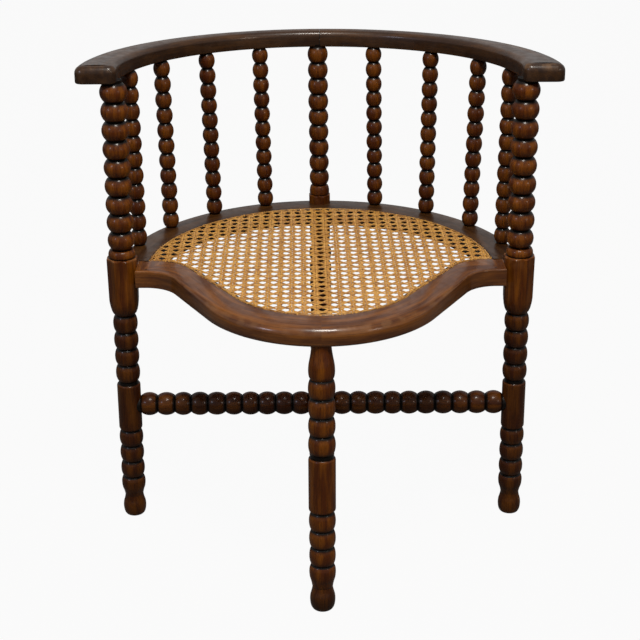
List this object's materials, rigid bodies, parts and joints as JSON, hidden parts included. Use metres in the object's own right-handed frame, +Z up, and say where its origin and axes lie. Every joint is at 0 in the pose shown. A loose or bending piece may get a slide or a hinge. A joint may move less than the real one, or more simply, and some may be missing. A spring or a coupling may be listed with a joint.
{
  "type": "corner chair",
  "caption": "Corner chair in dark turned wood: half-round arm on bobbin-turned posts and spindles, serpentine caned seat, raked front leg and crossed turned stretchers.",
  "frame": {"origin": "on the floor, under the middle of the chair's overall box", "axes": "+Z up, -Y towards the front leg, X across the arms, the chair's left and right halves mirrored in X"},
  "size_m": [0.671, 0.5872, 0.7088],
  "materials": {
    "varnished_wood": "dark brown stained hardwood under a glossy varnish, worn at the edges",
    "cane": "hand-woven honey-coloured cane with a satin skin",
    "peg_wood": "plain hardwood dowels and pegs, end grain stained"
  },
  "bodies": {
    "root": {"back_left_rail": "varnished_wood", "back_post": "varnished_wood", "back_right_rail": "varnished_wood", "back_stretcher": "varnished_wood", "cane_binding": "cane", "cane_panel": "cane", "cross_stretcher": "varnished_wood", "frame_dowels": "peg_wood", "frame_pegs": "peg_wood", "front_left_rail": "varnished_wood", "front_leg": "varnished_wood", "front_right_rail": "varnished_wood", "front_stretcher": "varnished_wood", "left_arm_rail": "varnished_wood", "left_post": "varnished_wood", "left_spindle_1": "varnished_wood", "left_spindle_2": "varnished_wood", "left_spindle_3": "varnished_wood", "left_spindle_4": "varnished_wood", "right_arm_rail": "varnished_wood", "right_post": "varnished_wood", "right_spindle_1": "varnished_wood", "right_spindle_2": "varnished_wood", "right_spindle_3": "varnished_wood", "right_spindle_4": "varnished_wood"}
  },
  "joints": []
}
